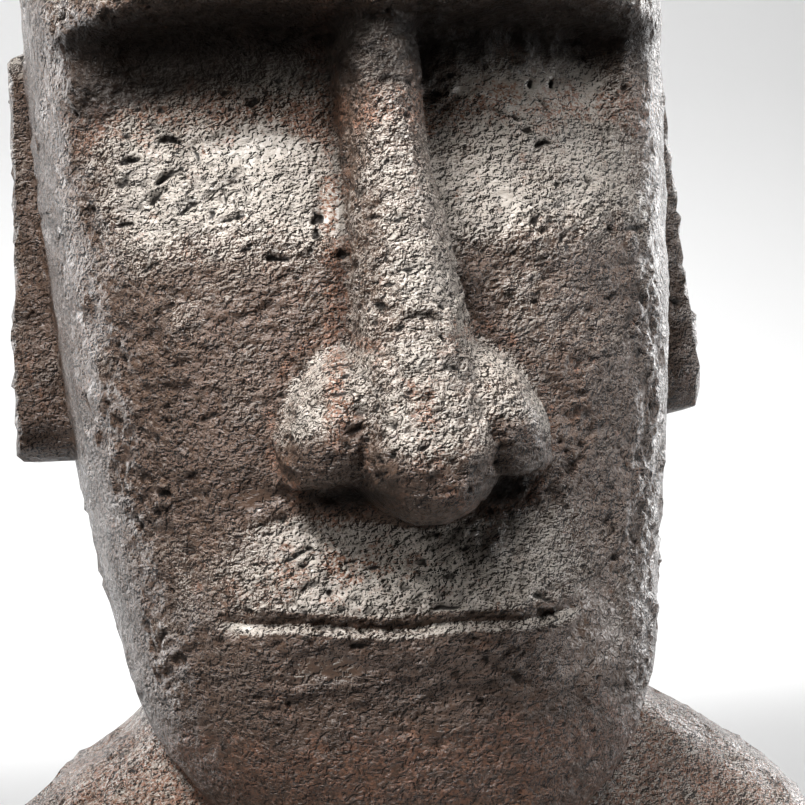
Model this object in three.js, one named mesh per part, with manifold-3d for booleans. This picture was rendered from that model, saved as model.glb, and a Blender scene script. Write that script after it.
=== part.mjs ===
// A moai: a tall stone head on a plain bust, cast as one body and cut flat below.
// Millimetres, +Z up. The face looks towards -Y, +X is on the viewer's right, and
// the origin is in the middle of the flat underside.

import * as THREE from 'three';
import * as BufferGeometryUtils from 'three/addons/utils/BufferGeometryUtils.js';
import Module from 'manifold-3d';

const wasm = await Module();
wasm.setup();

// ---------------------------------------------------------------- driving dimensions

// Head, as stations from the chin up: height, half width, face plane, back plane.
const HEAD = [
  [148, 51, -88, 10],
  [154, 66, -101, 34],
  [170, 82, -107, 58],
  [190, 91.5, -109, 78],
  [231, 98, -107, 91],
  [262, 102, -105, 95],
  [300, 107, -106, 98],
  [366, 111.5, -106, 101],
  [440, 113.5, -106, 102],
  [474, 111, -101, 98],
  [494, 102, -92, 88],
  [503, 87, -79, 72],
  [506, 62, -56, 46],
];
const HEAD_SQUARENESS_FRONT = 2.7;
const HEAD_SQUARENESS_BACK = 3.2;
const JAW_RISE = 46;
const JAW_RISE_TOP = 262;

// Bust, as stations from the underside up: height, half width, chest plane, back plane.
const BUST = [
  [0, 150, -94, 94],
  [60, 157, -97, 97],
  [104, 159, -92, 100],
  [134, 155, -80, 100],
  [154, 144, -68, 97],
  [168, 128, -61, 94],
  [179, 113, -57, 90],
  [188, 99, -56, 87],
  [200, 86, -55, 83],
  [225, 76, -54, 77],
  [250, 67, -50, 68],
];
const BUST_SQUARENESS = 2.8;

// Brow: one heavy ledge over both eye sockets, a little higher on the viewer's left.
const BROW_CREASE_Z = 417;
const BROW_LEDGE_RISE = 11;
const BROW_OVERHANG = 36;
const BROW_BAND = 20;
const BROW_FADE = 34;
const BROW_FOREHEAD_SHARE = 0.34;
const BROW_HALF_WIDTH = 108;
const BROW_TILT = -0.035;
const BROW_ARCH = 5;
const BROW_BEND_MIDDLE = 4;
const BROW_BEND_REACH = 22;
const SOCKET_DEPTH = 17;
const SOCKET_HEIGHT = 78;
const SOCKET_HALF_WIDTH = 101;

// Nose: a ridge that leans a little to the viewer's right and widens into a full tip.
// Stations from the tip up: height, half width, front, middle.
const NOSE = [
  [261, 6, -134, 5],
  [264.5, 15, -143, 5],
  [272, 23, -149, 5],
  [284, 27, -149.5, 5],
  [300, 25.5, -145, 4.5],
  [332, 19.5, -136, 3],
  [376, 15.5, -127, 1],
  [417, 14.5, -120, 0],
  [436, 14.5, -117, 0],
];
const NOSE_ROOT_Y = -82;
const NOSE_SQUARENESS = 2.5;
const NOSE_ROOT_DEPTH = 6;

// Nostril lobes: the left one stands apart, the right one is fuller and runs into the tip.
const LOBES = [
  { side: -1, centre: [-22, -103, 293], radii: [19, 29, 26] },
  { side: 1, centre: [25, -103, 292], radii: [21, 35, 27] },
];
const LOBE_LEAN = 0.22;
const LOBE_BOTTOM_Z = 275;

// Mouth: thin closed lips over a broad chin.
const MOUTH_Z = 231;
const MOUTH_HALF_WIDTH = 57;
const MOUTH_BOW = 3;
const MOUTH_TILT = -0.05;
const MOUTH_X = -5;
const LIP_OUT = 8;
const UPPER_LIP_HEIGHT = 34;
const LOWER_LIP_HEIGHT = 30;
const MOUTH_BEND_REACH = 12;
const MOUTH_GROOVE = 7;
const MOUTH_GROOVE_HEIGHT = 3;

// Ears: long slabs on the sides of the head, with a hollow inside the rim and a fuller lobe.
const EAR_BOTTOM_Z = 288;
const EAR_TOP_Z = 436;
const EAR_CENTRE_Y = 14;
const EAR_HALF_DEPTH = 18;
const EAR_ROOT_X = 92;
const EAR_OUT = 120;
const EAR_FLARE = 7;
const EAR_ROUND = 4;
const EAR_RIM = 7;
const EAR_HOLLOW = 5;

// Mesh density.
const HEAD_FRONT_COLUMNS = 40;
const HEAD_BACK_COLUMNS = 20;
const BUST_COLUMNS = 42;
const NOSE_COLUMNS = 24;

// ---------------------------------------------------------------- small helpers

const clamp01 = (v) => Math.min(1, Math.max(0, v));

const ease = (from, to, v) => {
  const t = clamp01((v - from) / (to - from));
  return t * t * (3 - 2 * t);
};

const bell = (v, middle, width) => Math.exp(-(((v - middle) / width) ** 2));

// A smooth curve through stations [height, value, value, ...], read at a height.
function stationCurve(stations, column) {
  const last = stations.length - 1;
  const slope = (i) => {
    const a = stations[Math.max(0, i - 1)];
    const b = stations[Math.min(last, i + 1)];
    return (b[column] - a[column]) / (b[0] - a[0]);
  };
  return (height) => {
    let i = 0;
    while (i < last - 1 && height > stations[i + 1][0]) i += 1;
    const [a, b] = [stations[i], stations[i + 1]];
    const span = b[0] - a[0];
    const t = clamp01((height - a[0]) / span);
    const [t2, t3] = [t * t, t * t * t];
    return (2 * t3 - 3 * t2 + 1) * a[column] + (t3 - 2 * t2 + t) * span * slope(i)
      + (3 * t2 - 2 * t3) * b[column] + (t3 - t2) * span * slope(i + 1);
  };
}

// A superellipse's point at an angle; squareness 2 is a circle.
function squaredCircle(angle, squareness) {
  const across = Math.cos(angle);
  const along = Math.max(0, 1 - Math.abs(across) ** squareness) ** (1 / squareness);
  return [across, Math.sign(Math.sin(angle)) * along];
}

// Closed geometry through rings of equal length, from the lowest to the highest.
function loft(rings) {
  const columns = rings[0].length;
  const points = rings.flat();
  const faces = [];
  for (let row = 0; row < rings.length - 1; row += 1) {
    for (let column = 0; column < columns; column += 1) {
      const next = (column + 1) % columns;
      const [a, b] = [row * columns + column, row * columns + next];
      const [c, d] = [a + columns, b + columns];
      faces.push(a, b, d, a, d, c);
    }
  }
  for (const [ring, lower] of [[rings[0], true], [rings.at(-1), false]]) {
    const centre = new THREE.Vector3();
    ring.forEach((p) => centre.add(p));
    points.push(centre.divideScalar(columns));
    const start = lower ? 0 : (rings.length - 1) * columns;
    for (let column = 0; column < columns; column += 1) {
      const [a, b] = [start + column, start + ((column + 1) % columns)];
      faces.push(...(lower ? [b, a] : [a, b]), points.length - 1);
    }
  }
  const geometry = new THREE.BufferGeometry().setFromPoints(points);
  geometry.setIndex(faces);
  return geometry;
}

function toSolid(geometry) {
  const bare = geometry.clone();
  bare.deleteAttribute('normal');
  bare.deleteAttribute('uv');
  const merged = BufferGeometryUtils.mergeVertices(bare, 1e-4);
  return new wasm.Manifold(new wasm.Mesh({
    numProp: 3,
    vertProperties: new Float32Array(merged.attributes.position.array),
    triVerts: new Uint32Array(merged.index.array),
  }));
}

function toGeometry(solid) {
  const mesh = solid.getMesh();
  const geometry = new THREE.BufferGeometry();
  geometry.setAttribute('position', new THREE.BufferAttribute(new Float32Array(mesh.vertProperties), 3));
  geometry.setIndex(new THREE.BufferAttribute(new Uint32Array(mesh.triVerts), 1));
  geometry.computeVertexNormals();
  return geometry;
}

// ---------------------------------------------------------------- head

const headHalfWidth = stationCurve(HEAD, 1);
const headFront = stationCurve(HEAD, 2);
const headBack = stationCurve(HEAD, 3);

// Height of the crease between brow and eye socket, arched over each eye.
const browCrease = (x) => BROW_CREASE_Z + BROW_TILT * x
  + BROW_ARCH * Math.sin(Math.PI * clamp01(Math.abs(x) / BROW_HALF_WIDTH));

const mouthLine = (x) => {
  const u = clamp01(Math.abs(x - MOUTH_X) / MOUTH_HALF_WIDTH);
  return MOUTH_Z + MOUTH_TILT * (x - MOUTH_X) - MOUTH_BOW * (1 - u * u);
};

function browRelief(x, z) {
  const above = z - browCrease(x);
  const side = 1 - ease(0.62, 1, Math.abs(x) / BROW_HALF_WIDTH);
  const fade = ease(BROW_LEDGE_RISE + BROW_BAND, BROW_LEDGE_RISE + BROW_BAND + BROW_FADE, above);
  const ledge = ease(0, BROW_LEDGE_RISE, above) * (1 - (1 - BROW_FOREHEAD_SHARE) * fade);
  const socketSide = 1 - ease(0.7, 1, Math.abs(x) / SOCKET_HALF_WIDTH);
  const socketDrop = above < 0 ? 1 - ease(0, SOCKET_HEIGHT, -above) : 1 - ease(0, BROW_LEDGE_RISE, above);
  return (BROW_OVERHANG - SOCKET_DEPTH) * ledge * (0.35 + 0.65 * side) - SOCKET_DEPTH * socketDrop * socketSide;
}

function mouthRelief(x, z) {
  const above = z - mouthLine(x);
  const across = Math.abs(x - MOUTH_X) / MOUTH_HALF_WIDTH;
  const side = 1 - ease(0.55, 1.35, across);
  const swell = above > 0 ? 1 - above / UPPER_LIP_HEIGHT : 1 - ease(0, LOWER_LIP_HEIGHT, -above);
  const groove = MOUTH_GROOVE * bell(above, 0, MOUTH_GROOVE_HEIGHT) * (1 - ease(0.85, 1.05, across));
  return LIP_OUT * side * clamp01(swell) - groove;
}

// Rows close up where the brow and the mouth need them.
function headRows() {
  const rows = [];
  const run = (from, to, count) => {
    for (let i = 0; i < count; i += 1) rows.push(from + (to - from) * (i / count));
  };
  run(148, 154, 2);
  run(154, 190, 5);
  run(190, MOUTH_Z - 9, 4);
  run(MOUTH_Z - 9, MOUTH_Z - 3, 2);
  run(MOUTH_Z - 3, MOUTH_Z + 3, 4);
  run(MOUTH_Z + 3, MOUTH_Z + 9, 2);
  run(MOUTH_Z + 9, 270, 4);
  run(270, BROW_CREASE_Z - 18, 12);
  run(BROW_CREASE_Z - 18, BROW_CREASE_Z, 3);
  run(BROW_CREASE_Z, BROW_CREASE_Z + BROW_LEDGE_RISE, 4);
  run(BROW_CREASE_Z + BROW_LEDGE_RISE, 474, 5);
  run(474, 506, 7);
  rows.push(506);
  return rows;
}

// Below the cheeks the rows climb towards the back, along the jaw line.
const jawClimb = (y, z) => JAW_RISE * (1 - ease(HEAD[0][0], JAW_RISE_TOP, z)) * ease(-95, 40, y);

function headBackPoint(turn, z) {
  const [across, along] = squaredCircle(turn * Math.PI, HEAD_SQUARENESS_BACK);
  const y = headBack(z) * along;
  return new THREE.Vector3(headHalfWidth(z) * across, y, z + jawClimb(y, z));
}

// The front of a ring carries the relief, and its rows bend with the brow and the mouth.
function headFrontPoint(turn, z) {
  const [across, along] = squaredCircle((1 + turn) * Math.PI, HEAD_SQUARENESS_FRONT);
  const x = headHalfWidth(z) * across;
  const y = -headFront(z) * along;
  const facing = ease(0, 0.5, -along);
  const browPull = bell(z, BROW_CREASE_Z + BROW_BEND_MIDDLE, BROW_BEND_REACH) * (browCrease(x) - BROW_CREASE_Z);
  const mouthPull = bell(z, MOUTH_Z, MOUTH_BEND_REACH) * (mouthLine(x) - MOUTH_Z);
  const height = z + facing * (browPull + mouthPull);
  const relief = facing * (browRelief(x, height) + mouthRelief(x, height));
  return new THREE.Vector3(x, y - relief, height + jawClimb(y, z));
}

function headRing(z) {
  const ring = [];
  for (let i = 0; i < HEAD_BACK_COLUMNS; i += 1) ring.push(headBackPoint(i / HEAD_BACK_COLUMNS, z));
  for (let i = 0; i < HEAD_FRONT_COLUMNS; i += 1) ring.push(headFrontPoint(i / HEAD_FRONT_COLUMNS, z));
  return ring;
}

// ---------------------------------------------------------------- nose

function noseRing(z) {
  const [halfWidth, front, middle] = [1, 2, 3].map((column) => stationCurve(NOSE, column)(z));
  const reach = NOSE_ROOT_Y - front;
  const ring = [];
  for (let column = 0; column < NOSE_COLUMNS; column += 1) {
    const [c, s] = squaredCircle((column / NOSE_COLUMNS) * 2 * Math.PI, NOSE_SQUARENESS);
    const depth = s < 0 ? reach * s : NOSE_ROOT_DEPTH * s;
    ring.push(new THREE.Vector3(middle + halfWidth * c, NOSE_ROOT_Y + depth, z));
  }
  return ring;
}

function nose() {
  const [low, high] = [NOSE[0][0], NOSE.at(-1)[0]];
  const rows = [low, low + 1.5, low + 4, low + 8, low + 13, low + 19, low + 26];
  for (let z = low + 35; z < high; z += 14) rows.push(z);
  rows.push(high);
  return toSolid(loft(rows.map(noseRing)));
}

// A leaning ball with a flat underside; its top leans in against the ridge.
function nostrilLobe({ side, centre, radii }) {
  const ball = new THREE.SphereGeometry(1, 18, 12);
  ball.rotateX(Math.PI / 2);
  ball.scale(...radii);
  const lean = new THREE.Matrix4().makeShear(0, 0, 0, 0, -side * LOBE_LEAN, 0);
  ball.applyMatrix4(lean);
  ball.translate(...centre);
  const under = new THREE.BoxGeometry(80, 120, 40);
  under.translate(centre[0], centre[1], LOBE_BOTTOM_Z - 20);
  return toSolid(ball).subtract(toSolid(under));
}

// ---------------------------------------------------------------- ears

// The ear's outline in the YZ plane: a long rounded slab, drawn in by the margin.
function earOutline(margin) {
  const r = EAR_HALF_DEPTH - margin;
  const [low, high] = [EAR_BOTTOM_Z + margin + r, EAR_TOP_Z - margin];
  const shape = new THREE.Shape();
  shape.moveTo(r, low);
  shape.lineTo(r, high - 10);
  shape.quadraticCurveTo(r, high, r - 8, high);
  shape.lineTo(-r + 8, high - 4);
  shape.quadraticCurveTo(-r, high - 4, -r, high - 14);
  shape.lineTo(-r, low);
  shape.absarc(0, low, r, Math.PI, 2 * Math.PI, false);
  return shape;
}

// The outline extruded away from the head, flaring towards the lobe.
function earSlab(side, margin, root, out) {
  const slab = new THREE.ExtrudeGeometry(earOutline(margin + EAR_ROUND), {
    depth: out - root - 2 * EAR_ROUND,
    curveSegments: 5,
    bevelThickness: EAR_ROUND,
    bevelSize: EAR_ROUND,
    bevelSegments: 2,
  });
  const position = slab.attributes.position;
  for (let i = 0; i < position.count; i += 1) {
    const [y, z] = [position.getX(i), position.getY(i)];
    const flare = EAR_FLARE * (1 - ease(EAR_BOTTOM_Z, EAR_TOP_Z - 40, z));
    const x = root + EAR_ROUND + position.getZ(i) + flare;
    position.setXYZ(i, side * x, EAR_CENTRE_Y + y, z);
  }
  if (side < 0) slab.setIndex([...Array(position.count).keys()].reverse());
  return toSolid(slab);
}

function ear(side) {
  const hollow = earSlab(side, EAR_RIM, EAR_OUT - EAR_HOLLOW, EAR_OUT + 20);
  return earSlab(side, 0, EAR_ROOT_X, EAR_OUT).subtract(hollow);
}

// ---------------------------------------------------------------- bust

function bustRing(z) {
  const [halfWidth, front, back] = [1, 2, 3].map((column) => stationCurve(BUST, column)(z));
  const ring = [];
  for (let column = 0; column < BUST_COLUMNS; column += 1) {
    const [c, s] = squaredCircle((column / BUST_COLUMNS) * 2 * Math.PI, BUST_SQUARENESS);
    ring.push(new THREE.Vector3(halfWidth * c, s < 0 ? -front * s : back * s, z));
  }
  return ring;
}

function bust() {
  const rows = [0, 30, 60, 84, 104, 120, 134, 145, 154, 161, 168, 174, 179, 184, 189, 200, 212, 225, 250];
  return toSolid(loft(rows.map(bustRing)));
}

// ---------------------------------------------------------------- the statue

let statue = toSolid(loft(headRows().map(headRing))).add(bust()).add(nose());
for (const lobe of LOBES) statue = statue.add(nostrilLobe(lobe));
for (const side of [-1, 1]) statue = statue.add(ear(side));

const stone = new THREE.MeshStandardMaterial({ color: 0x5f5048, roughness: 0.75, metalness: 0 });
const moai = new THREE.Mesh(toGeometry(statue), stone);
moai.name = 'moai_bust';

const object = new THREE.Group();
object.add(moai);

export default object;
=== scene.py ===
"""The moai head: its cast stone surface, the studio around it and the camera."""

import math

import bpy
import numpy as np
from mathutils import Matrix, Vector


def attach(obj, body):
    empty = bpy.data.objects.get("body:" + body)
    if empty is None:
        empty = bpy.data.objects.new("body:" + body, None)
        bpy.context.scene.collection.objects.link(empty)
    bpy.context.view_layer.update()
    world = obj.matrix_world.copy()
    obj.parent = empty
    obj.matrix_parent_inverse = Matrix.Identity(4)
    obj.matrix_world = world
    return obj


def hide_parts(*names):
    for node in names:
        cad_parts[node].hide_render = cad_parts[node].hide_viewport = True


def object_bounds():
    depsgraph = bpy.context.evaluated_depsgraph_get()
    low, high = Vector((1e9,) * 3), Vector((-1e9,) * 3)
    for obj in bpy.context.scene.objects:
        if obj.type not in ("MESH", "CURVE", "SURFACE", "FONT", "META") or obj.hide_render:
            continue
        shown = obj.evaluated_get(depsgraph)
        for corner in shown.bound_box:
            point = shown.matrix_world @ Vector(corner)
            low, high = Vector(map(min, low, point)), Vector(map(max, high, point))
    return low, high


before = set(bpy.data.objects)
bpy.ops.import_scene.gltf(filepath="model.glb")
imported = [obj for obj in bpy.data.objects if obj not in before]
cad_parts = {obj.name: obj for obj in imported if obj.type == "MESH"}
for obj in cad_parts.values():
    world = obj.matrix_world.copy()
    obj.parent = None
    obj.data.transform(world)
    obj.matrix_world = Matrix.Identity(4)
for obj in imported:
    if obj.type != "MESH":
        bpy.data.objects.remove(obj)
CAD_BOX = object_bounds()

# ---------------------------------------------------------------- driving values
# The form is worked out in millimetres, as the solid's is, and turned into metres at the end.

MM = 0.001

# Head, from the chin up: height, half width, face plane, back plane.
HEAD = [
    (148, 51, -88, 10), (154, 66, -101, 34), (170, 82, -107, 58), (190, 91.5, -109, 78),
    (231, 98, -107, 91), (262, 102, -105, 95), (300, 107, -106, 98), (366, 111.5, -106, 101),
    (440, 113.5, -106, 102), (474, 111, -101, 98), (494, 102, -92, 88), (503, 87, -79, 72),
    (506, 62, -56, 46),
]
HEAD_SQUARENESS_FRONT = 2.7
HEAD_SQUARENESS_BACK = 3.2
JAW_RISE = 46
JAW_RISE_TOP = 262

# Bust, from the underside up: height, half width, chest plane, back plane.
BUST = [
    (0, 150, -94, 94), (60, 157, -97, 97), (104, 159, -92, 100), (134, 155, -80, 100),
    (154, 144, -68, 97), (168, 128, -61, 94), (179, 113, -57, 90), (188, 99, -56, 87),
    (200, 86, -55, 83), (225, 76, -54, 77), (250, 67, -50, 68),
]
BUST_SQUARENESS = 2.8

BROW_CREASE_Z = 417
BROW_LEDGE_RISE = 11
BROW_OVERHANG = 36
BROW_BAND = 20
BROW_FADE = 34
BROW_FOREHEAD_SHARE = 0.34
BROW_HALF_WIDTH = 108
BROW_TILT = -0.035
BROW_ARCH = 5
BROW_BEND_MIDDLE = 4
BROW_BEND_REACH = 22
SOCKET_DEPTH = 17
SOCKET_HEIGHT = 78
SOCKET_HALF_WIDTH = 101

# Nose, from the tip up: height, half width, front, middle.
NOSE = [
    (261, 6, -134, 5), (264.5, 15, -143, 5), (272, 23, -149, 5), (284, 27, -149.5, 5), (300, 25.5, -145, 4.5),
    (332, 19.5, -136, 3), (376, 15.5, -127, 1), (417, 14.5, -120, 0), (436, 14.5, -117, 0),
]
NOSE_ROOT_Y = -82
NOSE_SQUARENESS = 2.5
NOSE_ROOT_DEPTH = 6

# Nostril lobes: side, centre, radii. The left one stands apart, the right one runs into the tip.
LOBES = [
    (-1, (-22, -103, 293), (19, 29, 26)),
    (1, (25, -103, 292), (21, 35, 27)),
]
LOBE_LEAN = 0.22
LOBE_BOTTOM_Z = 275

MOUTH_Z = 231
MOUTH_HALF_WIDTH = 57
MOUTH_BOW = 3
MOUTH_TILT = -0.05
MOUTH_X = -5
LIP_OUT = 8
UPPER_LIP_HEIGHT = 34
LOWER_LIP_HEIGHT = 30
MOUTH_BEND_REACH = 12
MOUTH_GROOVE = 5.5
MOUTH_WAVE = 0.7
MOUTH_WAVE_LENGTH = 47
MOUTH_GROOVE_ABOVE = 2.6
MOUTH_GROOVE_BELOW = 1.3

EAR_BOTTOM_Z = 288
EAR_TOP_Z = 436
EAR_CENTRE_Y = 14
EAR_HALF_DEPTH = 18
EAR_ROOT_X = 92
EAR_OUT = 120
EAR_FLARE = 7
EAR_ROUND = 4
EAR_RIM = 7
EAR_HOLLOW = 5

# Mesh: the edge of a voxel, the most triangles of the finished piece, and its margin inside the solid's box.
VOXEL = 1.1
TRIANGLES = 196_000
BOX_MARGIN = 0.01

# Numbers kept on the mesh's points for its material.
ATTRIBUTES = ("smooth", "hollow", "upward", "recess", "painted_shade", "wear_and_painted_light")

# ---------------------------------------------------------------- number helpers


def ease(low, high, value):
    t = np.clip((value - low) / (high - low), 0.0, 1.0)
    return t * t * (3.0 - 2.0 * t)


def bell(value, middle, width):
    return np.exp(-((value - middle) / width) ** 2)


def station_curve(stations, column):
    """A smooth curve through stations (height, value, ...), read at any heights."""
    table = np.array(stations, dtype=float)
    heights, values = table[:, 0], table[:, column]
    slopes = np.empty_like(values)
    slopes[1:-1] = (values[2:] - values[:-2]) / (heights[2:] - heights[:-2])
    slopes[0] = (values[1] - values[0]) / (heights[1] - heights[0])
    slopes[-1] = (values[-1] - values[-2]) / (heights[-1] - heights[-2])

    def read(height):
        i = np.clip(np.searchsorted(heights, height, side="right") - 1, 0, len(heights) - 2)
        span = heights[i + 1] - heights[i]
        t = np.clip((height - heights[i]) / span, 0.0, 1.0)
        t2, t3 = t * t, t * t * t
        return ((2 * t3 - 3 * t2 + 1) * values[i] + (t3 - 2 * t2 + t) * span * slopes[i]
                + (3 * t2 - 2 * t3) * values[i + 1] + (t3 - t2) * span * slopes[i + 1])

    return read


def squared_circle(angle, squareness):
    """A superellipse's point; squareness 2 is a circle."""
    across = np.cos(angle)
    along = np.clip(1.0 - np.abs(across) ** squareness, 0.0, 1.0) ** (1.0 / squareness)
    return across, np.sign(np.sin(angle)) * along


def hashed(cell, seed):
    """A repeatable number from 0 to 1 for each whole-number cell."""
    x, y, z = (cell[..., i].astype(np.uint32) for i in range(3))
    value = x * np.uint32(374761393) + y * np.uint32(668265263) + z * np.uint32(2246822519)
    value = value + np.uint32(seed * 3266489917 % 2**32)
    value = (value ^ (value >> np.uint32(15))) * np.uint32(2246822519)
    value = (value ^ (value >> np.uint32(13))) * np.uint32(3266489917)
    value = value ^ (value >> np.uint32(16))
    return value.astype(np.float64) / 2**32


def noise(points, size, seed=0):
    """Smooth gradient noise, about -1 to 1, with lumps of the given size (one number, or three)."""
    place = points / np.asarray(size, dtype=float)
    cell = np.floor(place).astype(np.int64)
    inside = place - cell
    fade = inside ** 3 * (inside * (inside * 6.0 - 15.0) + 10.0)
    total = np.zeros(len(points))
    for corner in np.ndindex(2, 2, 2):
        step = np.array(corner)
        near = np.prod(np.where(step == 1, fade, 1.0 - fade), axis=1)
        lean = sum((hashed(cell + step, seed * 3 + i) * 2.0 - 1.0) * (inside[:, i] - step[i])
                   for i in range(3))
        total += near * lean
    return total * 1.6


# ---------------------------------------------------------------- the form, as in the solid


def loft(rings):
    """Closed mesh data through rings of equal length, from the lowest to the highest."""
    rows, columns = rings.shape[:2]
    points = list(rings.reshape(-1, 3)) + [rings[0].mean(axis=0), rings[-1].mean(axis=0)]
    faces = []
    for row in range(rows - 1):
        for column in range(columns):
            beside = (column + 1) % columns
            a, b = row * columns + column, row * columns + beside
            faces.append((a, b, b + columns, a + columns))
    low, high = rows * columns, rows * columns + 1
    top = (rows - 1) * columns
    for column in range(columns):
        beside = (column + 1) % columns
        faces.append((beside, column, low))
        faces.append((top + column, top + beside, high))
    return points, faces


def brow_crease(x):
    arch = np.sin(math.pi * np.clip(np.abs(x) / BROW_HALF_WIDTH, 0.0, 1.0))
    return BROW_CREASE_Z + BROW_TILT * x + BROW_ARCH * arch


def mouth_line(x):
    u = np.clip(np.abs(x - MOUTH_X) / MOUTH_HALF_WIDTH, 0.0, 1.0)
    wave = MOUTH_WAVE * np.sin(x / MOUTH_WAVE_LENGTH * 2.0 * math.pi)
    return MOUTH_Z + MOUTH_TILT * (x - MOUTH_X) - MOUTH_BOW * (1.0 - u * u) + wave


def brow_relief(x, z):
    above = z - brow_crease(x)
    side = 1.0 - ease(0.62, 1.0, np.abs(x) / BROW_HALF_WIDTH)
    band_top = BROW_LEDGE_RISE + BROW_BAND
    fade = ease(band_top, band_top + BROW_FADE, above)
    ledge = ease(0.0, BROW_LEDGE_RISE, above) * (1.0 - (1.0 - BROW_FOREHEAD_SHARE) * fade)
    socket_side = 1.0 - ease(0.7, 1.0, np.abs(x) / SOCKET_HALF_WIDTH)
    below = 1.0 - ease(0.0, SOCKET_HEIGHT, -above)
    drop = np.where(above < 0.0, below, 1.0 - ease(0.0, BROW_LEDGE_RISE, above))
    forward = (BROW_OVERHANG - SOCKET_DEPTH) * ledge * (0.35 + 0.65 * side)
    return forward - SOCKET_DEPTH * drop * socket_side


def mouth_relief(x, z):
    above = z - mouth_line(x)
    across = np.abs(x - MOUTH_X) / MOUTH_HALF_WIDTH
    side = 1.0 - ease(0.55, 1.35, across)
    upper = 1.0 - above / UPPER_LIP_HEIGHT
    lower = 1.0 - ease(0.0, LOWER_LIP_HEIGHT, -above)
    swell = np.clip(np.where(above > 0.0, upper, lower), 0.0, 1.0)
    shut_above, shut_below = ease(0.0, MOUTH_GROOVE_ABOVE, above), ease(0.0, MOUTH_GROOVE_BELOW, -above)
    shut = np.where(above > 0.0, shut_above, shut_below)
    groove = MOUTH_GROOVE * (1.0 - shut) * (1.0 - ease(0.8, 1.08, across))
    return LIP_OUT * side * swell - groove


def jaw_climb(y, z):
    return JAW_RISE * (1.0 - ease(HEAD[0][0], JAW_RISE_TOP, z)) * ease(-95.0, 40.0, y)


def head():
    half_width, front, back = (station_curve(HEAD, column) for column in (1, 2, 3))
    rows = np.linspace(HEAD[0][0], HEAD[-1][0], 300)
    z, turn = np.meshgrid(rows, np.arange(360) / 360.0, indexing="ij")
    across_back, along_back = squared_circle(turn * 2.0 * math.pi, HEAD_SQUARENESS_BACK)
    across, along = squared_circle(turn * 2.0 * math.pi, HEAD_SQUARENESS_FRONT)
    is_front = turn >= 0.5
    x = half_width(z) * np.where(is_front, across, across_back)
    y = np.where(is_front, -front(z) * along, back(z) * along_back)
    facing = np.where(is_front, ease(0.0, 0.5, -along), 0.0)
    brow_pull = bell(z, BROW_CREASE_Z + BROW_BEND_MIDDLE, BROW_BEND_REACH) * (brow_crease(x) - BROW_CREASE_Z)
    mouth_pull = bell(z, MOUTH_Z, MOUTH_BEND_REACH) * (mouth_line(x) - MOUTH_Z)
    height = z + facing * (brow_pull + mouth_pull)
    relief = facing * (brow_relief(x, height) + mouth_relief(x, height))
    return loft(np.stack([x, y - relief, height + jaw_climb(y, z)], axis=2))


def nose():
    rows = np.linspace(NOSE[0][0], NOSE[-1][0], 130)
    z, turn = np.meshgrid(rows, np.arange(96) / 96.0, indexing="ij")
    across, along = squared_circle(turn * 2.0 * math.pi, NOSE_SQUARENESS)
    reach = NOSE_ROOT_Y - station_curve(NOSE, 2)(z)
    y = NOSE_ROOT_Y + np.where(along < 0.0, reach * along, NOSE_ROOT_DEPTH * along)
    x = station_curve(NOSE, 3)(z) + station_curve(NOSE, 1)(z) * across
    return loft(np.stack([x, y, z], axis=2))


def nostril_lobe(side, centre, radii):
    rise, turn = np.meshgrid(np.linspace(-1.0, 1.0, 62)[1:-1], np.arange(72) / 36.0 * math.pi, indexing="ij")
    rise = np.sin(rise * math.pi / 2.0)
    ring = np.sqrt(1.0 - rise ** 2)
    up = radii[2] * rise
    x = radii[0] * ring * np.cos(turn) - side * LOBE_LEAN * up
    y = radii[1] * ring * np.sin(turn)
    z = np.maximum(centre[2] + up, LOBE_BOTTOM_Z)
    return loft(np.stack([centre[0] + x, centre[1] + y, z], axis=2))


def ear_outline(margin, count=96):
    """A long slab with a round lobe and softened top corners, in the YZ plane."""
    angle = np.arange(count) / count * 2.0 * math.pi
    r = EAR_HALF_DEPTH - margin
    across, along = squared_circle(angle, 4.5)
    lobe_across, lobe_along = squared_circle(angle, 2.0)
    low, high = EAR_BOTTOM_Z + margin + r, EAR_TOP_Z - margin - r
    y = r * np.where(along >= 0.0, across, lobe_across)
    z = np.where(along >= 0.0, high + r * along, low + r * lobe_along)
    return y, z


def ear(side):
    steps = [(0.0, EAR_ROOT_X), (0.0, EAR_OUT - EAR_ROUND)]
    steps += [(EAR_ROUND * (1.0 - math.cos(a)), EAR_OUT - EAR_ROUND * (1.0 - math.sin(a)))
              for a in (0.5, 1.0, math.pi / 2.0)]
    steps += [(EAR_RIM, EAR_OUT - 0.4), (EAR_RIM + 1.6, EAR_OUT - EAR_HOLLOW)]
    rings = []
    for margin, out in steps:
        y, z = ear_outline(margin)
        flare = EAR_FLARE * (1.0 - ease(EAR_BOTTOM_Z, EAR_TOP_Z - 40, z))
        rings.append(np.stack([side * (out + flare), EAR_CENTRE_Y + y, z], axis=1))
    points, faces = loft(np.array(rings))
    return points, (faces if side > 0 else [face[::-1] for face in faces])


def bust():
    rows = np.linspace(BUST[0][0], BUST[-1][0], 110)
    z, turn = np.meshgrid(rows, np.arange(240) / 240.0, indexing="ij")
    across, along = squared_circle(turn * 2.0 * math.pi, BUST_SQUARENESS)
    half_width, front, back = (station_curve(BUST, column)(z) for column in (1, 2, 3))
    y = np.where(along < 0.0, -front * along, back * along)
    return loft(np.stack([half_width * across, y, z], axis=2))


# ---------------------------------------------------------------- mesh work


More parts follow.
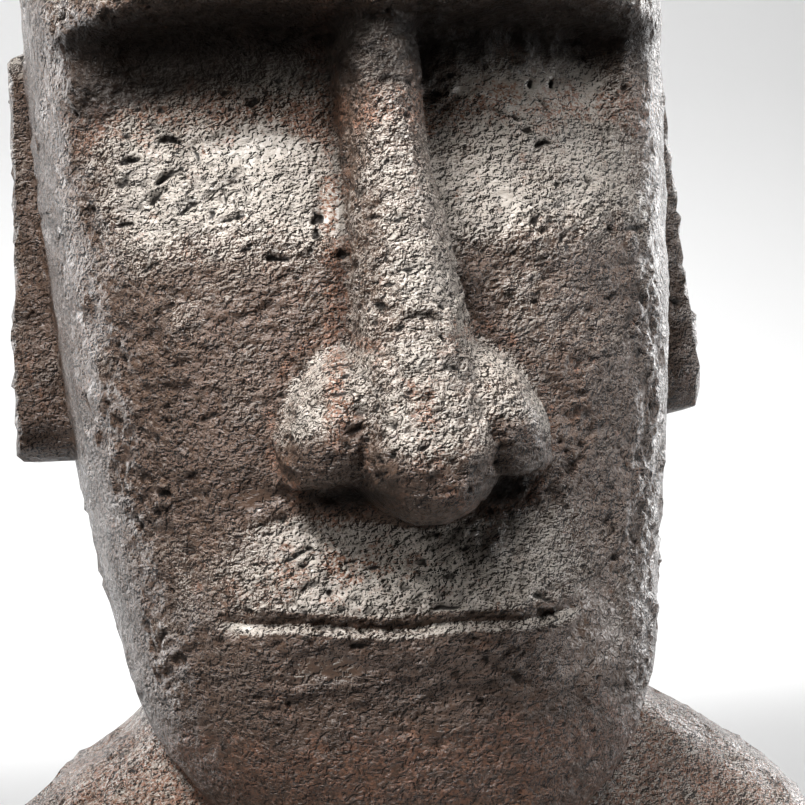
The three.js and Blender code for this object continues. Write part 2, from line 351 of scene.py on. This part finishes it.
def apply_modifier(mesh, kind, group_weights=None, **settings):
    """A new mesh: the given one with one modifier applied."""
    carrier = bpy.data.objects.new("carrier", mesh)
    bpy.context.scene.collection.objects.link(carrier)
    if group_weights is not None:
        group = carrier.vertex_groups.new(name="keep")
        levels = np.round(group_weights * 10.0).astype(int)
        for level in range(1, 11):
            members = np.flatnonzero(levels == level).tolist()
            group.add(members, level / 10.0, "REPLACE")
        settings["vertex_group"] = "keep"
    modifier = carrier.modifiers.new("step", kind)
    for name, value in settings.items():
        setattr(modifier, name, value)
    bpy.context.view_layer.update()
    made = bpy.data.meshes.new_from_object(carrier.evaluated_get(bpy.context.evaluated_depsgraph_get()))
    bpy.data.objects.remove(carrier)
    bpy.data.meshes.remove(mesh)
    return made


def union_mesh():
    points, faces = [], []
    parts = [head(), bust(), nose()]
    parts += [nostril_lobe(*lobe) for lobe in LOBES]
    parts += [ear(side) for side in (-1, 1)]
    for part_points, part_faces in parts:
        start = len(points)
        points += list(part_points)
        faces += [tuple(start + i for i in face) for face in part_faces]
    mesh = bpy.data.meshes.new("union")
    mesh.from_pydata([tuple(p) for p in points], [], faces)
    return apply_modifier(mesh, "REMESH", mode="VOXEL", voxel_size=VOXEL)


def read_points(mesh, what="vertices"):
    numbers = np.empty(len(mesh.vertices) * 3)
    if what == "vertices":
        mesh.vertices.foreach_get("co", numbers)
    else:
        mesh.vertex_normals.foreach_get("vector", numbers)
    return numbers.reshape(-1, 3)


def write_points(mesh, points):
    mesh.vertices.foreach_set("co", points.reshape(-1))
    mesh.update()


def soften(mesh, points, rounds, share=0.5):
    """Moves each vertex towards the mean of its neighbours."""
    ends = np.empty(len(mesh.edges) * 2, dtype=np.int64)
    mesh.edges.foreach_get("vertices", ends)
    a, b = ends[0::2], ends[1::2]
    count = np.bincount(a, minlength=len(points)) + np.bincount(b, minlength=len(points))
    for _ in range(rounds):
        sums = [np.bincount(a, points[b, i], len(points)) + np.bincount(b, points[a, i], len(points))
                for i in range(3)]
        total = np.stack(sums, axis=1)
        points = points + share * (total / count[:, None] - points)
    return points


def face_closeness(points):
    """1 on the front of the face, falling to 0 behind the ears and below the shoulders."""
    front = ease(-20.0, -75.0, points[:, 1])
    height = ease(135.0, 165.0, points[:, 2]) * (1.0 - 0.6 * ease(440.0, 480.0, points[:, 2]))
    return front * height


# Marks in the face, each a flake broken out: middle x and z, length, width, slope in degrees, depth.
MARKS = (
    (-69, 392, 9, 3.6, -6, 2.6), (-70, 380, 12, 4.0, 24, 2.6), (-74, 373, 8, 3.0, 40, 2.0),
    (-60, 386, 8, 1.6, -72, 1.5), (-81, 386, 9, 2.6, 12, 2.0), (-64, 369, 8, 2.0, 35, 1.2),
    (-85, 365, 8, 2.4, 20, 1.5), (-52, 370, 19, 1.4, -84, 1.0), (-49, 366, 13, 1.4, -83, 0.9),
    (-23, 361, 5, 5.0, 0, 2.8), (-24, 355, 3, 9.0, 0, 0.9), (-17, 349, 4, 5.0, 0, 2.0),
    (-37, 349, 9, 2.4, -8, 2.0), (-47, 353, 6, 2.0, 10, 1.2), (54, 403, 5, 2.4, 68, 2.0),
    (62, 403, 5, 2.6, 60, 2.0), (57, 397, 6, 1.4, -55, 1.0), (56, 383, 7, 2.4, 12, 2.0),
    (-37, 254, 10, 2.6, 24, 2.0), (-14, 248, 5, 2.2, 0, 1.7), (-78, 350, 8, 2.4, 30, 1.5),
    (20, 352, 7, 1.6, -12, 1.2), (-2, 341, 14, 1.5, 4, 1.2), (-5, 337, 9, 1.3, 12, 1.0),
    (-62, 300, 9, 2.2, 20, 1.2), (75, 330, 8, 1.8, 15, 1.2),
)

# Trowelled patches of the face, smoother than the rest: middle x and z, half width, half height.
PATCHES = (
    (60, 402, 34, 11), (-18, 366, 4, 13), (-30, 217, 14, 6), (-56, 233, 8, 5),
    (60, 222, 15, 22), (40, 362, 5, 9), (-42, 386, 20, 7), (-48, 273, 10, 5),
)


def leaned(points, degrees):
    """Points turned in the XZ plane, so that what is stretched along X runs at that slope."""
    c, s = math.cos(math.radians(degrees)), math.sin(math.radians(degrees))
    x, z = points[:, 0], points[:, 2]
    return np.stack([c * x + s * z, points[:, 1], -s * x + c * z], axis=1)


def on_front(points):
    return ease(-55.0, -75.0, points[:, 1])


def smoothness(points):
    """1 on the trowelled patches, 0 on the bare cast grain."""
    ragged = 0.35 * noise(points, 9.0, 21)
    most = np.zeros(len(points))
    for x, z, half_width, half_height in PATCHES:
        away = np.hypot((points[:, 0] - x) / half_width, (points[:, 2] - z) / half_height)
        most = np.maximum(most, 1.0 - ease(0.55, 1.1, away + ragged))
    chin = 0.6 * ease(212.0, 190.0, points[:, 2] + 6.0 * noise(points, 20.0, 32))
    return np.maximum(most, chin) * on_front(points)


def mark_relief(points):
    """Flakes broken out of the face: each is deepest under its upper edge and runs out below."""
    total = np.zeros(len(points))
    ragged = 1.0 + 0.5 * noise(points, 3.2, 22)
    for x, z, length, width, slope, depth in MARKS:
        c, s = math.cos(math.radians(slope)), math.sin(math.radians(slope))
        dx, dz = points[:, 0] - x, points[:, 2] - z
        along, across = (c * dx + s * dz) / (length / 2.0), (c * dz - s * dx) / (width / 2.0)
        inside = 1.0 - ease(0.6, 1.0, np.hypot(along, across) * ragged)
        total -= depth * inside * (0.35 + 0.65 * ease(-1.0, 0.4, across))
    return total * on_front(points)


def fold_relief(points):
    """Smeared folds that run down and inwards from the right corner of the mouth."""
    turned = leaned(points, 43.0)
    near = 1.0 - ease(0.4, 1.0, np.hypot((points[:, 0] - 46.0) / 26.0, (points[:, 2] - 214.0) / 22.0))
    return 0.9 * noise(turned, (22.0, 22.0, 3.4), 23) * near * on_front(points)


# Relief of the cast surface: plates, chips, pits, and how far it all sinks to stay within the solid.
PLATE_HEIGHT = 0.95
CHIP_HEIGHT = 0.55
PIT_DEPTH = 1.1
SINK = 0.75


def stone_relief(points, smooth):
    """Millimetres of relief along the normal: hand-worked unevenness, broken plates of grain and pits."""
    uneven = 0.9 * noise(points, 34.0, 1) + 0.5 * noise(points, 15.0, 2)
    wander = np.stack([noise(points, 16.0, seed) for seed in (11, 12, 13)], axis=1)
    bent = leaned(points, 14.0) + 3.0 * wander
    plate_field = noise(bent, (10.0, 10.0, 5.5), 6) + 0.4 * noise(bent, (4.0, 4.0, 2.4), 8)
    plates = PLATE_HEIGHT * ease(-0.10, 0.10, plate_field)
    chips = CHIP_HEIGHT * ease(-0.12, 0.12, noise(bent, (4.6, 4.6, 2.7), 3))
    pits = -PIT_DEPTH * ease(0.42, 0.62, noise(bent, (5.5, 5.5, 3.0), 5))
    coarse = 0.45 + 0.55 * ease(-0.2, 0.3, noise(points, 26.0, 7))
    rough = (1.0 - 0.85 * smooth) * coarse
    return uneven + rough * (plates + chips + pits) + mark_relief(points) + fold_relief(points) - SINK


def recess(points):
    """1 where rust shows: beside the nose, round its lobes, low in the sockets, on the lip and bust."""
    x, z = points[:, 0], points[:, 2]
    level = np.minimum(z, NOSE[-1][0])
    side = station_curve(NOSE, 3)(level) - x
    beside_nose = bell(side, station_curve(NOSE, 1)(level) + 3.0, 4.0) * ease(276.0, 300.0, z)
    total = np.zeros(len(points))
    for _, centre, radii in LOBES:
        lobe = np.hypot((x - centre[0]) / radii[0], (z - centre[2]) / radii[2])
        total = np.maximum(total, 0.6 * bell(lobe, 1.12, 0.14))
    below = brow_crease(x) - z
    in_socket = 0.8 * bell(below, 24.0, 9.0)
    lip = 0.7 * bell(z, 246.0, 10.0) * bell(x, -22.0, 34.0)
    shoulder = 0.9 * ease(205.0, 185.0, z)
    return np.maximum.reduce([beside_nose, total, in_socket, lip]) * on_front(points) + shoulder * (z < 205.0)


def painted_shade(points):
    """Share of near-black painted shade: the shadow under the brow and at the nostrils, the shade in the
    crease left of the nose and on the down-turned chin.
    """
    x, z = points[:, 0], points[:, 2]
    below = brow_crease(x) - z
    reach = 24.0 - 0.08 * x + 5.0 * noise(points, 12.0, 31)
    brow = ease(-14.0, -4.0, below) * ease(reach, reach - 16.0, below)
    chin = 0.45 * ease(212.0, 190.0, z + 6.0 * noise(points, 20.0, 32)) * ease(140.0, 150.0, z)
    left_nostril = bell(x, -19.0, 14.0) * bell(z, 271.0, 5.0)
    right_nostril = bell(x, 31.0, 12.0) * bell(z, 270.0, 8.0)
    nostrils = np.maximum(left_nostril, right_nostril)
    level = np.minimum(z, NOSE[-1][0])
    beside = station_curve(NOSE, 3)(level) - x
    crease = 0.6 * bell(beside, station_curve(NOSE, 1)(level) + 0.5, 2.6) * ease(305.0, 325.0, z)
    return np.maximum.reduce([0.88 * brow, chin, nostrils, crease]) * on_front(points)


# Broad zones of paint tone, partly painted light: paler for painted highlight on the upper cheeks, the upper
# lip and the right edge, darker for painted shade on the lower left cheek, the nose, the chin and under the
# brow. Columns: middle x and z, half width, half height, how much paler or darker than the rest.
ZONES = (
    (-55, 370, 44, 26, 0.18), (-62, 300, 42, 42, -0.24), (80, 300, 34, 60, 0.04), (66, 372, 34, 26, 0.10),
    (-10, 246, 46, 15, 0.16), (8, 298, 34, 34, -0.14), (0, 190, 110, 24, -0.45), (0, 400, 16, 30, -0.20),
    (-36, 395, 30, 9, -0.40), (98, 380, 14, 60, 0.12),
)


def wear_and_painted_light(points):
    """How much paler or darker the paint is, zone by zone with ragged edges: a random worn tone plus the
    zones' painted highlight and painted shade; darker low down and behind.
    """
    x, z = points[:, 0], points[:, 2]
    ragged = 0.45 * noise(points, 22.0, 41) + 0.2 * noise(points, 9.0, 42)
    total = 0.22 * noise(points, 18.0, 43)
    for middle, height, half_width, half_height, amount in ZONES:
        away = np.hypot((x - middle) / half_width, (z - height) / half_height)
        total += amount * (1.0 - ease(0.5, 1.2, away + ragged)) * on_front(points)
    behind = 1.0 - on_front(points)
    return total - 0.12 * ease(205.0, 190.0, z) - 0.15 * behind


def sculpt():
    mesh = union_mesh()
    points = soften(mesh, read_points(mesh), 3)
    write_points(mesh, points)
    normals = read_points(mesh, "normals")
    smooth = smoothness(points)
    relief = stone_relief(points, smooth)
    points = points + normals * relief[:, None]
    write_points(mesh, points)
    # How far each point lies below its softened neighbours; the material paints shade into these hollows.
    hollow = soften(mesh, np.repeat(relief[:, None], 3, axis=1), 12, 0.8)[:, 0] - relief
    fields = (smooth, hollow, normals[:, 2], recess(points), painted_shade(points), wear_and_painted_light(points))
    for name, values in zip(ATTRIBUTES, fields):
        mesh.attributes.new(name, "FLOAT", "POINT").data.foreach_set("value", values.astype(np.float32))
    keep = face_closeness(points)
    ratio = min(1.0, TRIANGLES / (2.0 * len(mesh.polygons)))
    mesh = apply_modifier(mesh, "DECIMATE", group_weights=1.0 - keep, ratio=ratio, vertex_group_factor=4.0)
    low, high = (np.array(corner) / MM for corner in CAD_BOX)
    write_points(mesh, np.clip(read_points(mesh), low + BOX_MARGIN, high - BOX_MARGIN) * MM)
    return mesh


# ---------------------------------------------------------------- materials


class Nodes:
    """Short calls for building a material's node tree."""

    def __init__(self, name):
        self.material = bpy.data.materials.new(name)
        self.material.use_nodes = True
        self.tree = self.material.node_tree
        self.shader = self.tree.nodes["Principled BSDF"]

    def add(self, kind, inputs=None, **settings):
        node = self.tree.nodes.new(kind)
        for name, value in settings.items():
            setattr(node, name, value)
        for name, value in (inputs or {}).items():
            self.put(node, name, value)
        return node

    def put(self, node, name, value):
        socket = node.inputs[name]
        if isinstance(value, bpy.types.NodeSocket):
            self.tree.links.new(value, socket)
        else:
            socket.default_value = value

    def math(self, kind, a, b=0.0, c=0.0):
        return self.add("ShaderNodeMath", {0: a, 1: b, 2: c}, operation=kind).outputs[0]

    def noise(self, vector, scale, detail=3.0, roughness=0.6, distortion=0.0):
        node = self.add("ShaderNodeTexNoise", {
            "Vector": vector, "Scale": scale, "Detail": detail,
            "Roughness": roughness, "Distortion": distortion})
        return node.outputs["Fac"]

    def ramp(self, value, low, high):
        node = self.add("ShaderNodeMapRange", {
            "Value": value, "From Min": low, "From Max": high}, interpolation_type="SMOOTHSTEP")
        return node.outputs["Result"]

    def mix(self, share, first, second):
        node = self.add("ShaderNodeMix", data_type="RGBA")
        self.put(node, 0, share)
        self.put(node, 6, first)
        self.put(node, 7, second)
        return node.outputs[2]


def grain_height(n, place, coarse):
    """Millimetres of the fine relief: flat plates with steep broken edges under a rounded grain."""
    plates = n.ramp(n.noise(place, 290.0, 3.5, 0.62, 0.6), 0.44, 0.52)
    lumps = n.math("MULTIPLY_ADD", n.noise(place, 660.0, 3.0, 0.62, 0.5), 1.75, n.noise(place, 210.0, 1.0))
    return n.math("MULTIPLY_ADD", n.math("MULTIPLY", lumps, coarse), 1.0, n.math("MULTIPLY", plates, 0.32))


def stone_material():
    """Near-black painted shade in the grain's hollows and undersides, under the brow, at the nostrils and on
    the chin; rust in the recesses; a pale grey on what stands proud and faces up, partly worn paint and
    partly painted highlight.
    """
    n = Nodes("weathered_stone")
    place = n.add("ShaderNodeTexCoord").outputs["Object"]
    smooth, hollow, upward, recess, painted_shade, wear_and_painted_light = (
        n.add("ShaderNodeAttribute", attribute_name=name).outputs["Fac"] for name in ATTRIBUTES)
    flat = n.add("ShaderNodeMapping", {
        "Vector": place, "Rotation": (0.0, math.radians(16.0), 0.0), "Scale": (1.0, 1.0, 1.2)}).outputs[0]
    above = n.add("ShaderNodeMapping", {"Vector": flat, "Location": (-0.22 * MM, 0.0, 0.42 * MM)}).outputs[0]
    broad = n.noise(place, 45.0, 4.0, 0.6)
    uneven = n.math("MULTIPLY_ADD", n.ramp(n.noise(place, 75.0, 3.0, 0.6), 0.36, 0.66), 0.75, 0.55)
    coarse = n.math("MULTIPLY", uneven, n.math("MULTIPLY_ADD", smooth, -0.72, 1.0))
    height = grain_height(n, flat, coarse)
    # Grain that stands higher just above and to the left, towards the key light, leaves this spot in painted
    # shadow; the reverse is a crest given a painted highlight.
    overhang = n.math("SUBTRACT", grain_height(n, above, coarse), height)
    painted_grain_shadow = n.ramp(overhang, 0.02, 0.15)
    painted_crest_highlight = n.ramp(overhang, 0.04, -0.16)
    dark = (0.006, 0.0045, 0.0035, 1.0)
    brown = (0.100, 0.060, 0.040, 1.0)
    rust = (0.23, 0.110, 0.066, 1.0)
    pale = (0.43, 0.385, 0.335, 1.0)
    # Paleness: painted highlight where the surface faces up and on the grain's crests; the broad noise, the
    # trowelled patches and the wear zones add the paint's own worn tone, those zones with painted light of
    # their own.
    pale_wear_and_painted_light = n.math("MULTIPLY_ADD", n.ramp(upward, -0.15, 0.30), 1.0, n.math("MULTIPLY_ADD", broad, 1.2, -0.95))
    pale_wear_and_painted_light = n.math("ADD", n.math("MULTIPLY_ADD", smooth, 0.3, pale_wear_and_painted_light), n.math("MULTIPLY_ADD", painted_crest_highlight, 0.6, -0.2))
    pale_wear_and_painted_light = n.math("ADD", pale_wear_and_painted_light, wear_and_painted_light)
    rusty = n.math("MULTIPLY_ADD", recess, 0.22, n.noise(place, 110.0, 6.0, 0.8))
    rusty = n.math("MULTIPLY", n.ramp(rusty, 0.56, 0.70), n.ramp(n.noise(flat, 900.0, 2.0), 0.40, 0.60))
    colour = n.mix(n.ramp(pale_wear_and_painted_light, 0.0, 0.9), brown, pale)
    colour = n.mix(rusty, colour, rust)
    # Near-black painted shade: under the grain's edges, in its hollows and in the painted-shade zones; the
    # coat is thinned there too.
    shade = n.math("MAXIMUM", n.math("MAXIMUM", painted_grain_shadow, n.ramp(hollow, 0.15, 0.85)), painted_shade)
    n.put(n.shader, "Base Color", n.mix(n.math("MULTIPLY", shade, 0.95), colour, dark))
    n.put(n.shader, "Roughness", n.math("MULTIPLY_ADD", broad, 0.3, 0.30))
    n.shader.inputs["Specular IOR Level"].default_value = 0.2
    n.put(n.shader, "Coat Weight", n.math("MULTIPLY", n.math("SUBTRACT", 1.0, shade), 0.9))
    n.shader.inputs["Coat Roughness"].default_value = 0.22
    bump = n.add("ShaderNodeBump", {"Height": height, "Strength": 1.0, "Distance": MM})
    n.put(n.shader, "Normal", bump.outputs["Normal"])
    n.put(n.shader, "Coat Normal", bump.outputs["Normal"])
    return n.material


def plain_material(name, colour, roughness=0.9):
    n = Nodes(name)
    n.shader.inputs["Base Color"].default_value = (*colour, 1.0)
    n.shader.inputs["Roughness"].default_value = roughness
    return n.material


# ---------------------------------------------------------------- studio


def make_camera():
    azimuth, roll = math.radians(-7.7), math.radians(4.3)
    distance, aim_right, aim_height = 0.9, 0.0139, 0.300
    right = Vector((math.cos(azimuth), math.sin(azimuth), 0.0))
    back = Vector((math.sin(azimuth), -math.cos(azimuth), 0.0))
    camera = bpy.data.objects.new("camera", bpy.data.cameras.new("camera"))
    bpy.context.scene.collection.objects.link(camera)
    place = Vector((0.0, 0.0, aim_height)) + right * aim_right + back * distance
    turn = back.to_track_quat("Z", "Y").to_matrix().to_4x4()
    camera.matrix_world = Matrix.Translation(place) @ turn @ Matrix.Rotation(-roll, 4, "Z")
    camera.data.lens = 110.0
    camera.data.sensor_width = 36.0
    bpy.context.scene.camera = camera


def make_sweep():
    """A pale floor that curves up into a backdrop."""
    radius, wall_y, top = 0.7, 2.4, 4.0
    profile = [(-4.0, 0.0), (wall_y - radius, 0.0)]
    for i in range(1, 17):
        angle = i / 16.0 * math.pi / 2.0
        profile.append((wall_y - radius + radius * math.sin(angle), radius - radius * math.cos(angle)))
    profile.append((wall_y, top))
    points = [(x, y, z) for y, z in profile for x in (-5.0, 5.0)]
    faces = [(2 * i, 2 * i + 1, 2 * i + 3, 2 * i + 2) for i in range(len(profile) - 1)]
    mesh = bpy.data.meshes.new("sweep")
    mesh.from_pydata(points, [], faces)
    for polygon in mesh.polygons:
        polygon.use_smooth = True
    sweep = bpy.data.objects.new("sweep", mesh)
    bpy.context.scene.collection.objects.link(sweep)
    mesh.materials.append(plain_material("pale_sweep", (0.82, 0.82, 0.82)))


def area_light(name, place, aim, size, power, spread=180.0):
    light = bpy.data.lights.new(name, "AREA")
    light.shape = "RECTANGLE"
    light.size, light.size_y = size
    light.energy = power
    light.spread = math.radians(spread)
    lamp = bpy.data.objects.new(name, light)
    bpy.context.scene.collection.objects.link(lamp)
    lamp.location = place
    lamp.rotation_euler = (Vector(place) - Vector(aim)).to_track_quat("Z", "Y").to_euler()


def make_lights():
    area_light("key", (-0.29, -0.38, 0.96), (0.0, -0.10, 0.37), (0.30, 0.30), 1.25, 45.0)
    area_light("fill", (0.29, -0.38, 0.96), (0.0, -0.10, 0.37), (0.30, 0.30), 0.40, 45.0)
    area_light("low", (-0.42, -0.60, 0.62), (0.0, -0.10, 0.30), (0.30, 0.30), 0.16, 45.0)
    area_light("side", (1.10, 0.10, 0.40), (0.0, 0.0, 0.28), (0.4, 0.9), 0.9, 50.0)
    area_light("rim_left", (-0.90, 0.90, 0.50), (0.0, 0.0, 0.28), (0.4, 0.9), 0.9, 50.0)
    area_light("rim_right", (0.90, 0.90, 0.50), (0.0, 0.0, 0.28), (0.4, 0.9), 0.8, 50.0)
    area_light("backdrop", (0.0, 1.0, 2.6), (0.0, 2.0, 0.3), (2.5, 0.8), 35.0, 120.0)
    area_light("backdrop_low", (0.0, 1.1, 1.0), (0.0, 2.2, -0.1), (2.5, 0.3), 4.5, 80.0)
    world = bpy.data.worlds.new("studio")
    bpy.context.scene.world = world
    world.use_nodes = True
    background = world.node_tree.nodes["Background"]
    background.inputs["Color"].default_value = (1.0, 1.0, 1.0, 1.0)
    background.inputs["Strength"].default_value = 0.01
    bpy.context.scene.view_settings.view_transform = "Standard"


# ---------------------------------------------------------------- the scene


def main():
    make_camera()
    make_sweep()
    make_lights()
    mesh = sculpt()
    mesh.name = "moai_stone"
    for polygon in mesh.polygons:
        polygon.use_smooth = True
    mesh.materials.clear()
    mesh.materials.append(stone_material())
    moai = bpy.data.objects.new("moai_stone", mesh)
    bpy.context.scene.collection.objects.link(moai)
    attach(moai, "root")
    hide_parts("moai_bust")


main()
